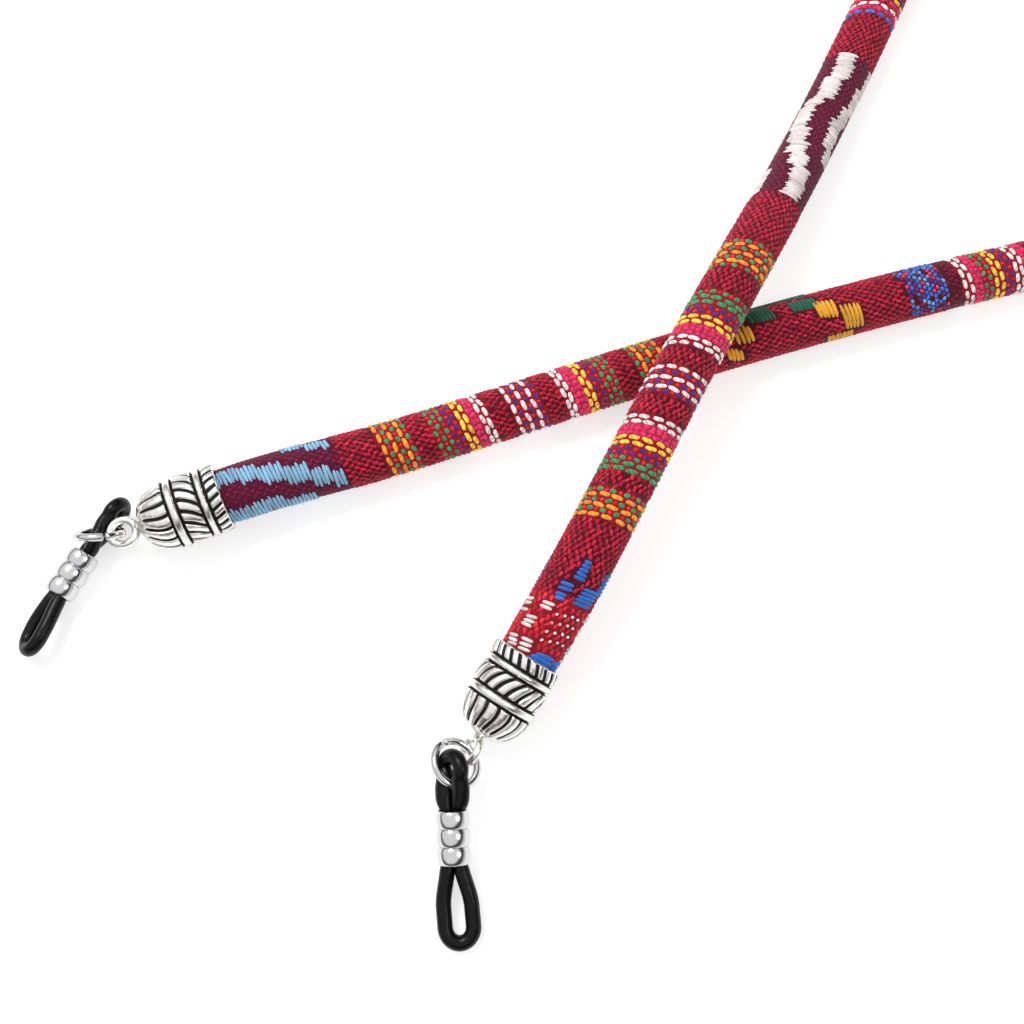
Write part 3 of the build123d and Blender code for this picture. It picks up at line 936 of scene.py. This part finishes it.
loop = {
    "length": 18.4,
    "strand": 0.79,  # radius of the rubber cord
    "strandOffset": 0.67,  # half the distance between the strands inside the sleeve
    "pinch": 0.91,  # how thin the sleeve squeezes them
    "pinchRun": 0.8,
    "lowerOffset": 1.42,
    "lowerEnd": 1.6,
    "eyeMiddle": 0.86,  # middle of the lower eye, as a share of the length
    "upperWiden": 0.22,
    "upperDraw": 0.36,
    "upperFlare": 2.2,
    "lowerFlare": 4.2,
    "steps": 230,
    "stations": 150,
    "columns": 28,
}
sleeve = {"length": 5.35, "bore": 1.39, "neck": 1.45, "rib": 1.69, "ribs": 3, "columns": 72}


def loopAxis(end):
    # middle line of the loop and its direction, added up in small steps from the top
    steps = loop["steps"]
    stride = loop["length"] / steps
    along = np.arange(steps + 1) * stride
    middles = along[:-1] + stride / 2

    def ahead(at):
        heading = np.interp(at, *zip(*end["loopHeading"]))
        return direction(heading, np.interp(at, *zip(*end["loopPitch"])))

    moves = np.cumsum(ahead(middles) * stride, axis=0)
    line = np.array(end["loopTop"]) + np.concatenate([np.zeros((1, 3)), moves])
    return along, line, ahead(along)


def strandSpread(end, along):
    # half the distance between the two strands: pinched in the sleeve, open above and below, closed at both ends
    sleeveEnd = end["sleeveStart"] + sleeve["length"]
    upper = end["upperOffset"]
    near = loop["strandOffset"]
    above = near + (upper - near) * step(end["sleeveStart"] - along, 0, loop["upperFlare"])
    below = near + (loop["lowerOffset"] - near) * step(along - sleeveEnd, -0.3, loop["lowerFlare"])
    spread = np.where(along < end["sleeveStart"], above, below)
    spread = spread - loop["upperDraw"] * step(along, 1.0, 2.2) * (1 - step(along, 3.4, 4.8))
    topShare = np.clip((upper - along) / upper, 0, 1)
    lowShare = np.clip((along - loop["length"] + loop["lowerEnd"]) / loop["lowerEnd"], 0, 1)
    return spread * np.sqrt(1 - topShare ** 2) * np.sqrt(1 - lowShare ** 2)


def loopSurface(end):
    # the round rubber cord carried down one strand and back up the other
    along, line, ahead = loopAxis(end)
    half = loop["length"] / 2 * (1 - np.cos(np.linspace(0, math.pi, loop["stations"])))
    stations = np.concatenate([half, half[-2:0:-1]])
    sign = np.concatenate([np.ones(len(half)), -np.ones(len(half) - 2)])
    point = np.stack([np.interp(stations, along, line[:, k]) for k in range(3)], -1)
    forward = np.stack([np.interp(stations, along, ahead[:, k]) for k in range(3)], -1)
    side = unit(np.stack([forward[:, 1], -forward[:, 0], 0 * forward[:, 0]], -1))
    roll = np.radians(np.interp(stations, *zip(*end["loopRoll"])))[:, None]
    across = side * np.cos(roll) + np.cross(side, forward) * np.sin(roll)
    centre = point + across * (sign * strandSpread(end, stations))[:, None]
    tangent = unit(np.roll(centre, -1, 0) - np.roll(centre, 1, 0))
    normal = unit(np.cross(forward, across))
    normal = unit(normal - tangent * np.sum(normal * tangent, -1, keepdims=True))
    binormal = np.cross(tangent, normal)
    turn = np.arange(loop["columns"]) * 2 * math.pi / loop["columns"]
    widen = 1 + loop["upperWiden"] * step(stations, 0.8, 2.2) * (1 - step(stations, 3.8, 5.2))
    sleeveEnd = end["sleeveStart"] + sleeve["length"]
    entering = step(stations, end["sleeveStart"] - loop["pinchRun"], end["sleeveStart"])
    held = entering * (1 - step(stations, sleeveEnd, sleeveEnd + loop["pinchRun"]))
    thickness = loop["strand"] * (1 - (1 - loop["pinch"]) * held)  # the sleeve squeezes the rubber
    tubePoints = centre[:, None] + thickness[:, None, None] * (
        normal[:, None] * np.cos(turn)[None, :, None]
        + binormal[:, None] * (widen[:, None] * np.sin(turn)[None])[..., None])
    length = np.concatenate([[0], np.cumsum(np.linalg.norm(np.diff(centre, axis=0), axis=1))])
    uvs = np.stack(np.broadcast_arrays(turn[None] / (2 * math.pi), length[:, None] / 4), -1)
    closed = np.concatenate([tubePoints, tubePoints[:1]])
    return closed, np.concatenate([uvs, uvs[:1] + np.array([0, length[-1] / 4 + 0.1])])


def sleeveFrame(end):
    _, line, _ = loopAxis(end)
    top = line[round(end["sleeveStart"] / loop["length"] * loop["steps"])]
    bottom = line[round((end["sleeveStart"] + sleeve["length"]) / loop["length"] * loop["steps"])]
    z = unit(bottom - top)
    x = unit(np.cross([0.0, 0.0, 1.0], z))
    return top, x, np.cross(z, x), z


def sleeveSurface():
    # three round bulges with tight necks between them, and a plain bore inside
    along = np.linspace(0, sleeve["length"], 91)
    share = (along / sleeve["length"] * sleeve["ribs"]) % 1
    share[-1] = 1.0
    bulge = np.sqrt(np.clip(1 - (2 * share - 1) ** 2, 0, 1)) ** 1.1
    outer = sleeve["neck"] + (sleeve["rib"] - sleeve["neck"] + 0.03) * bulge
    inner = np.full(5, sleeve["bore"])
    height = np.concatenate([along, np.linspace(sleeve["length"], 0, 5), [0.0]])
    radius = np.concatenate([outer, inner, [outer[0]]])
    turn = np.arange(sleeve["columns"]) * 2 * math.pi / sleeve["columns"]
    # painted shade: the necks between the bulges are marked to be coloured dark, where shade falls
    paintedNeckShade = np.concatenate([np.clip((outer - sleeve["neck"]) / 0.09, 0, 1), np.zeros(5), [0.0]])
    points = np.stack([radius[:, None] * np.cos(turn), radius[:, None] * np.sin(turn),
                       height[:, None] * np.ones_like(turn)], -1)
    return points, np.repeat(paintedNeckShade[:, None, None], sleeve["columns"], 1)


loopPieces, sleevePieces = [], []
for side, end in ends.items():
    points, uvs = loopSurface(end)
    rubber = addPiece(f"rubberLoop_{side}", points * mm, None, f"loop_{side}", uvs=uvs)
    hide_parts(f"rubber_loop_{side}")
    loopPieces.append(rubber)
    points, paintedNeckShade = sleeveSurface()
    metal = addPiece(f"ribbedSleeve_{side}", points, sleeveFrame(end), f"sleeve_{side}",
                     attributes={"relief": paintedNeckShade})
    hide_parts(f"ribbed_sleeve_{side}")
    sleevePieces.append(metal)
print("rings, loops and sleeves made")

# the band round the put-away turns
tie = {"angle": 20.0, "width": 3.0, "edge": 0.2, "bevel": 0.12, "rise": (0.35, 0.37, 0.38), "gap": 0.05, "slack": 0.1,
       "layer": 6.5, "floorGap": 0.5, "corner": 3.0}


def tieSurface():
    # a rounded rectangle's outline carried across the band's width, with a slightly domed outer face
    inner = (strap["diameter"] / mm + 2 * tie["gap"], 2 * tie["layer"] + 2 * tie["slack"] + 2 * tie["gap"])
    bottom = tie["floorGap"] - tie["slack"] - tie["gap"]
    outwards = direction(tie["angle"], 0.0)
    middle = np.array([*strap["coilCentre"], bottom + inner[1] / 2]) + outwards * strap["coilRadius"]
    turn = np.linspace(0, 2 * math.pi, 97)[:-1]

    def outline(grow):
        halfX, halfY, corner = inner[0] / 2 + grow, inner[1] / 2 + grow, tie["corner"] + grow * 0.5
        x = np.sign(np.cos(turn)) * (halfX - corner) * (np.abs(np.cos(turn)) > 1e-9) + corner * np.cos(turn)
        y = np.sign(np.sin(turn)) * (halfY - corner) * (np.abs(np.sin(turn)) > 1e-9) + corner * np.sin(turn)
        return x, y

    half = tie["width"] / 2
    low, high, top = tie["rise"]
    edge, bevel = tie["edge"], tie["bevel"]
    profile = [(-half, 0.0), (-half, edge), (-half + bevel, low), (-half * 0.4, high), (0, top), (half * 0.4, high),
               (half - bevel, low), (half, edge), (half, 0.0), (0, 0.0), (-half, 0.0)]
    grid, uv = [], []
    for index, (across, grow) in enumerate(profile):
        x, y = outline(grow)
        grid.append(np.stack([x, y, np.full(len(turn), across)], -1))
        uv.append(np.stack([turn * 6.6, np.full(len(turn), across + (0 if index < 9 else 5))], -1))
    pose = (middle, outwards, np.array([0.0, 0.0, 1.0]), np.cross(outwards, [0.0, 0.0, 1.0]))
    return placed(np.array(grid), pose), np.array(uv)


points, uvs = tieSurface()
band = addPiece("storageBand", points, None, "strap", uvs=uvs)
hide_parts("coil_tie")

fuzz = {"count": 520, "length": 1.1, "shortest": 0.35, "thickness": 0.011, "from": 7, "to": 112, "around": 7.5,
        "leanSpread": 0.8, "taper": 0.8}


def fuzzHairs():
    # short hairs that rise from the cloth and bend over, each a thin three-sided needle
    count = fuzz["count"]
    near, far = fuzz["from"], fuzz["to"]
    length = strapLength / mm
    distance = np.concatenate([
        rng.uniform(near, far, count // 2), rng.uniform(length - far, length - near, count - count // 2),
    ])
    around = rng.uniform(-fuzz["around"], fuzz["around"], count)
    reach = rng.uniform(fuzz["shortest"], 1.0, count) * fuzz["length"]
    lean, leanAround = rng.normal(0, fuzz["leanSpread"], count), rng.normal(0, fuzz["leanSpread"], count)
    share = np.linspace(0, 1, 6)[None, :, None]
    side = (np.arange(3) * 2 * math.pi / 3)[None, None, :]
    thick = fuzz["thickness"] * (1 - share * fuzz["taper"])
    distance, around, reach, lean, leanAround = [
        values[:, None, None] for values in (distance, around, reach, lean, leanAround)
    ]
    overDistance = (distance + lean * share ** 1.5 * reach) + thick * np.cos(side)
    overAround = around + leanAround * share ** 1.5 * reach + thick * np.sin(side)
    lift = reach * (share - 0.5 * share ** 2) * 0.9 + 0.1 + 0 * side
    overDistance, overAround, lift = np.broadcast_arrays(overDistance, overAround, lift)
    points = onStrap(overDistance * mm, overAround * mm, lift * mm)
    return meshFromGrids("strayFibres", points, closedAcross=True)


fibres = fuzzHairs()
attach(fibres, "strap")


def cover(piece, material):
    piece.data.materials.clear()
    piece.data.materials.append(material)


spunCotton = {
    "fibres": 5200.0,  # scale of the fine fibre noise
    "dyeing": 420.0,  # scale of the uneven dyeing
    "fibreShare": 0.7,
    "dyeingShare": 0.5,
    "lightest": 1.7,
    "plyDistortion": 1.6,
    "rough": 0.72,
    "roughSpread": 0.2,
    "bump": 0.8,
    "gloss": 0.25,
    "sheenRough": 0.5,
    # sheen, plies for each mm, the way the plies run, how dark the plies are
    "groundYarn": (0.12, 1.1, "DIAGONAL", 0.5),
    "weftYarn": (0.22, 0.85, "DIAGONAL", 0.5),
    "satinYarn": (0.25, 2.2, "Y", 0.3),
}
clothBump = 0.00008


def yarnMaterial(name):
    # spun cotton: each pad keeps its own colour, with fine plies that run askew along it
    sheen, twist, course, depth = spunCotton[name]
    paint = Paint(name)
    tint = paint.attribute("tint")
    spots = paint.noise(paint.place(), spunCotton["fibres"], 3.0)
    cloud = paint.noise(paint.place(), spunCotton["dyeing"], 2.0)
    plies = paint.node("ShaderNodeTexWave", {"wave_type": "BANDS", "bands_direction": course},
                       {"Vector": paint.place("UV"), "Scale": twist, "Distortion": spunCotton["plyDistortion"],
                        "Detail": 2.0})
    shade = spots * spunCotton["fibreShare"] + plies * depth + cloud * spunCotton["dyeingShare"] + (0.4 - depth / 2)
    paint.set(Base_Color=paint.shaded(tint, shade.clamped(0.0, spunCotton["lightest"])),
              Roughness=(spots * spunCotton["roughSpread"] + spunCotton["rough"]).clamped(),
              Normal=paint.bump(plies * 0.6 + spots * 0.4, spunCotton["bump"], clothBump))
    paint.set(Sheen_Weight=sheen, Sheen_Roughness=spunCotton["sheenRough"], Specular_IOR_Level=spunCotton["gloss"])
    return paint.material


deepWeave = {"threads": (26.0, 38.0, 1.0), "fibres": 4200.0, "threadShare": 0.3, "fibreShare": 0.8, "darkest": 0.4,
             "rough": 0.8, "bump": 0.5, "sheen": 0.1, "gloss": 0.15}


def tubeMaterial():
    # the cloth between the raised yarns: its own deep colour, with a fine weave
    paint = Paint("deepWeave")
    weaveUv = paint.node("ShaderNodeMapping", None, {"Vector": paint.place("UV"), "Scale": deepWeave["threads"]})
    threads = paint.node("ShaderNodeTexChecker", None, {"Vector": weaveUv, "Scale": 2.0}, 1)
    spots = paint.noise(paint.place(), deepWeave["fibres"], 3.0)
    tint = paint.attribute("tint")
    shade = threads * deepWeave["threadShare"] + spots * deepWeave["fibreShare"] + deepWeave["darkest"]
    paint.set(Base_Color=paint.shaded(tint, shade.clamped(0.0, 1.6)),
              Roughness=(spots * 0.15 + deepWeave["rough"]).clamped(),
              Normal=paint.bump(threads + spots, deepWeave["bump"], clothBump))
    paint.set(Sheen_Weight=deepWeave["sheen"], Specular_IOR_Level=deepWeave["gloss"])
    return paint.material


antiqueSilver = {
    "clouds": 420.0,
    "pits": 1500.0,
    "bright": fromScreen(236, 234, 229),
    "tarnishAndReflectionGrey": fromScreen(110, 106, 102),
    "black": fromScreen(14, 13, 14),  # what is left in the grooves
    "tarnishAndReflection": 0.55,
    "bump": 0.30,
    "bumpDepth": 0.00006,
}


def castMaterial():
    # antiqued cast metal: polished high places, black left in the grooves, small casting pits, and grey patches that
    # are partly tarnish and partly painted reflection
    paint = Paint("antiqueSilver")
    relief = paint.attribute("relief", 2)
    cloud = paint.noise(paint.place(), antiqueSilver["clouds"], 4.0)
    pits = paint.noise(paint.place(), antiqueSilver["pits"], 3.0, 0.6)
    worn = (relief + (cloud - 0.5) * 0.5).clamped()
    polish = ((worn - 0.42) * 5.0).clamped()
    # grey patches in clouds over the metal: partly tarnish, partly painted reflection
    tarnishAndReflection = ((cloud - 0.55) * 4.0).clamped() * antiqueSilver["tarnishAndReflection"]
    silver = paint.mix(tarnishAndReflection, antiqueSilver["bright"], antiqueSilver["tarnishAndReflectionGrey"])
    rough = (polish * -0.42 + 0.64 + pits * 0.12 + tarnishAndReflection * 0.3).clamped(0.12, 1.0)
    paint.set(Base_Color=paint.mix(polish, antiqueSilver["black"], silver),
              Metallic=(polish * 0.75 + 0.25).clamped(), Roughness=rough,
              Normal=paint.bump(cloud * 0.7 + pits * 0.3, antiqueSilver["bump"], antiqueSilver["bumpDepth"]))
    return paint.material


plating = {
    "drawing": 800.0,
    "clouds": 140.0,
    "dull": fromScreen(196, 196, 198),
    "bright": fromScreen(222, 222, 223),
    "paintedNeckShade": fromScreen(20, 19, 20),  # painted shade in the necks between the ribs
    "bump": 0.2,
    "bumpDepth": 0.00004,
    "wireRough": 0.10,
    "sleeveRough": 0.14,
}


def platedMaterial(name, rough, grooves):
    # bright plating with faint drawing marks, and painted shade in the necks where the piece has them
    paint = Paint(name)
    fine = paint.noise(paint.place(), plating["drawing"], 4.0)
    soft = paint.noise(paint.place(), plating["clouds"], 2.0)
    colour = paint.mix(soft, plating["dull"], plating["bright"])
    if grooves:
        # painted shade: the necks are mixed towards near black
        clearOfNeckShade = ((paint.attribute("relief", 2) - 0.1) * 4.0).clamped()
        colour = paint.mix(clearOfNeckShade, plating["paintedNeckShade"], colour)
    paint.set(Base_Color=colour, Metallic=1.0, Roughness=(fine * 0.08 + rough).clamped(),
              Normal=paint.bump(fine * 0.4 + soft * 0.6, plating["bump"], plating["bumpDepth"]))
    return paint.material


blackRubber = {
    "grain": 5000.0,
    "streaks": (9.0, 1.4, 1.0),  # streaks run along the cord
    "rubber": fromScreen(5, 5, 6),
    "dust": fromScreen(58, 58, 62),
    "dustShare": 0.2,
    "rough": 0.19,
    "gloss": 0.2,
    "bump": 0.35,
    "bumpDepth": 0.00006,
}


def rubberMaterial():
    # black moulded rubber: satin, with faint lengthwise marks and a little dust
    paint = Paint("blackRubber")
    fine = paint.noise(paint.place(), blackRubber["grain"], 3.0)
    stretched = paint.node("ShaderNodeMapping", None, {"Vector": paint.place("UV"), "Scale": blackRubber["streaks"]})
    streaks = paint.noise(stretched, 3.0, 4.0)
    dust = ((fine + streaks * 0.5 - 0.86) * 5.0).clamped() * blackRubber["dustShare"]
    paint.set(Base_Color=paint.mix(dust, blackRubber["rubber"], blackRubber["dust"]),
              Roughness=(streaks * 0.2 + dust * 0.3 + blackRubber["rough"]).clamped(0.16, 0.9),
              Normal=paint.bump(fine * 0.5 + streaks * 0.5, blackRubber["bump"], blackRubber["bumpDepth"]))
    paint.set(Specular_IOR_Level=blackRubber["gloss"])
    return paint.material


# plainer finishes: noise scale and detail, two colours, roughness and its spread, bump and its depth
plainFinishes = {
    "softFiller": (500.0, 5.0, (214, 205, 188), (240, 235, 224), 0.85, 0.1, 0.4, 0.00008),
    "hardenedGlue": (300.0, 3.0, (196, 168, 112), (226, 206, 160), 0.2, 0.2, 0.2, 0.0001),
    "looseFibre": (200.0, 2.0, (150, 40, 60), (214, 150, 160), 0.8, 0.1, 0.0, 0.0001),
}


def plainMaterial(name):
    scale, detail, first, second, rough, spread, bump, depth = plainFinishes[name]
    paint = Paint(name)
    cloud = paint.noise(paint.place(), scale, detail)
    paint.set(Base_Color=paint.mix(cloud, fromScreen(*first), fromScreen(*second)),
              Roughness=(cloud * spread + rough).clamped())
    if bump > 0:
        paint.set(Normal=paint.bump(cloud, bump, depth))
    return paint.material


elastic = {"ribs": 2.6, "fibres": 900.0, "dark": fromScreen(24, 22, 26), "light": fromScreen(66, 62, 70),
           "rough": 0.75, "bump": 0.6, "bumpDepth": 0.0001}


def bandMaterial():
    # plain dark elastic with cross ribs
    paint = Paint("storageBand")
    ribs = paint.node("ShaderNodeTexWave", {"wave_type": "BANDS", "bands_direction": "X"},
                      {"Vector": paint.place("UV"), "Scale": elastic["ribs"], "Distortion": 0.3, "Detail": 1.0})
    spots = paint.noise(paint.place(), elastic["fibres"], 3.0)
    paint.set(Base_Color=paint.mix((ribs * 0.5 + spots * 0.5).clamped(), elastic["dark"], elastic["light"]),
              Roughness=(spots * 0.1 + elastic["rough"]).clamped(),
              Normal=paint.bump(ribs + spots * 0.5, elastic["bump"], elastic["bumpDepth"]))
    return paint.material


glue = [bpy.data.objects[f"glue_plug_{side}"] for side in ends]
for pieces, material in (
    (groundPieces, yarnMaterial("groundYarn")),
    (dashPieces, yarnMaterial("weftYarn")),
    (satinPieces, yarnMaterial("satinYarn")),
    ([strapTube], tubeMaterial()),
    ([filler], plainMaterial("softFiller")),
    ([fibres], plainMaterial("looseFibre")),
    (capPieces + eyePieces, castMaterial()),
    (ringPieces, platedMaterial("platedWire", plating["wireRough"], False)),
    (sleevePieces, platedMaterial("platedSleeve", plating["sleeveRough"], True)),
    (loopPieces, rubberMaterial()),
    ([band], bandMaterial()),
    (glue, plainMaterial("hardenedGlue")),
):
    for piece in pieces:
        cover(piece, material)
print("materials made")

for side in ends:
    # works out the middle of the lower eye and its directions, which nothing uses; each rubber loop gets its own copy
    # of its mesh
    end = ends[side]
    _, _, ahead = loopAxis(end)
    top, _, _, down = sleeveFrame(end)
    low = top + down * (loop["eyeMiddle"] * loop["length"] - end["sleeveStart"])
    forward = ahead[int(loop["eyeMiddle"] * loop["steps"])]
    sideways = unit(np.array([forward[1], -forward[0], 0.0]))
    roll = math.radians(end["loopRoll"][-1][1])
    across = sideways * math.cos(roll) + np.cross(sideways, forward) * math.sin(roll)
    rubber = bpy.data.objects[f"rubberLoop_{side}"]
    tuple(low * mm)
    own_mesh(rubber)

stage = {
    "floor": 1.6,
    "floorColour": (0.5, 0.5, 0.5),
    "floorLight": (0.55, 0.55, 0.55),
    "floorGlow": 0.64,
    "world": 0.95,
    "backdrop": (1.06, 1.06, 1.06),
    "roomLean": (-0.30, 0.12, 1.0),  # brighter on the left, dark lower on the right
    # brightness of the room against height: bright floor, dark walls, bright ceiling
    "room": [(0.0, 0.85), (0.48, 0.75), (0.52, 0.03), (0.71, 0.06), (0.80, 1.0), (1.0, 1.0)],
    "aim": (0.03, 0.03, 0.0),
    "lights": [
        # name, place, size, power
        ("keyLight", (-0.12, 0.18, 0.36), 0.14, 0.9),
        ("fillLight", (0.30, -0.06, 0.36), 0.16, 0.3),
    ],
}


def makeFloor():
    side = stage["floor"]
    corners = np.array([[-side, -side, 0], [side, -side, 0], [side, side, 0], [-side, side, 0]], float)
    floor = meshFromFaces("floor", corners, np.array([[0, 1, 2, 3]]), smooth=False)
    paint = Paint("paleFloor")
    soft = paint.noise(paint.place(), 6.0, 2.0)
    paint.set(Base_Color=paint.mix(soft * 0.3, stage["floorColour"], stage["floorLight"]), Roughness=0.9)
    paint.set(Specular_IOR_Level=0.1, Emission_Strength=stage["floorGlow"], Emission_Color=(1.0, 1.0, 1.0))
    cover(floor, paint.material)


def makeLights():
    # square lamps, each turned towards the strap
    for name, place, size, power in stage["lights"]:
        data = bpy.data.lights.new(name, "AREA")
        data.shape = "SQUARE"
        data.size = size
        data.energy = power
        light = bpy.data.objects.new(name, data)
        light.location = place
        aim = Vector(stage["aim"]) - Vector(place)
        light.rotation_euler = aim.to_track_quat("-Z", "Y").to_euler()
        bpy.context.scene.collection.objects.link(light)


def makeRoom():
    # a soft room for the metal to mirror; looked at directly it is plain white
    world = bpy.data.worlds.new("softRoom")
    world.use_nodes = True
    nodes, links = world.node_tree.nodes, world.node_tree.links
    background = nodes["Background"]
    background.inputs["Strength"].default_value = stage["world"]
    place = nodes.new("ShaderNodeTexCoord")
    height = nodes.new("ShaderNodeVectorMath")
    height.operation = "DOT_PRODUCT"
    height.inputs[1].default_value = stage["roomLean"]
    share = nodes.new("ShaderNodeMapRange")
    share.inputs["From Min"].default_value = -1.0
    ramp = nodes.new("ShaderNodeValToRGB")
    while len(ramp.color_ramp.elements) < len(stage["room"]):
        ramp.color_ramp.elements.new(0.5)
    for element, (position, level) in zip(ramp.color_ramp.elements, stage["room"]):
        element.position = position
        element.color = (level, level, level, 1.0)
    seen = nodes.new("ShaderNodeLightPath")
    plain = nodes.new("ShaderNodeMix")
    plain.data_type = "RGBA"
    plain.inputs[7].default_value = (*stage["backdrop"], 1.0)
    for output, target in (
        (place.outputs["Generated"], height.inputs[0]),
        (height.outputs["Value"], share.inputs["Value"]),
        (share.outputs["Result"], ramp.inputs["Fac"]),
        (seen.outputs["Is Camera Ray"], plain.inputs[0]),
        (ramp.outputs["Color"], plain.inputs[6]),
        (plain.outputs[2], background.inputs["Color"]),
    ):
        links.new(output, target)
    bpy.context.scene.world = world
    bpy.context.scene.view_settings.view_transform = "Standard"


makeFloor()
makeLights()
makeRoom()
print("stage made")
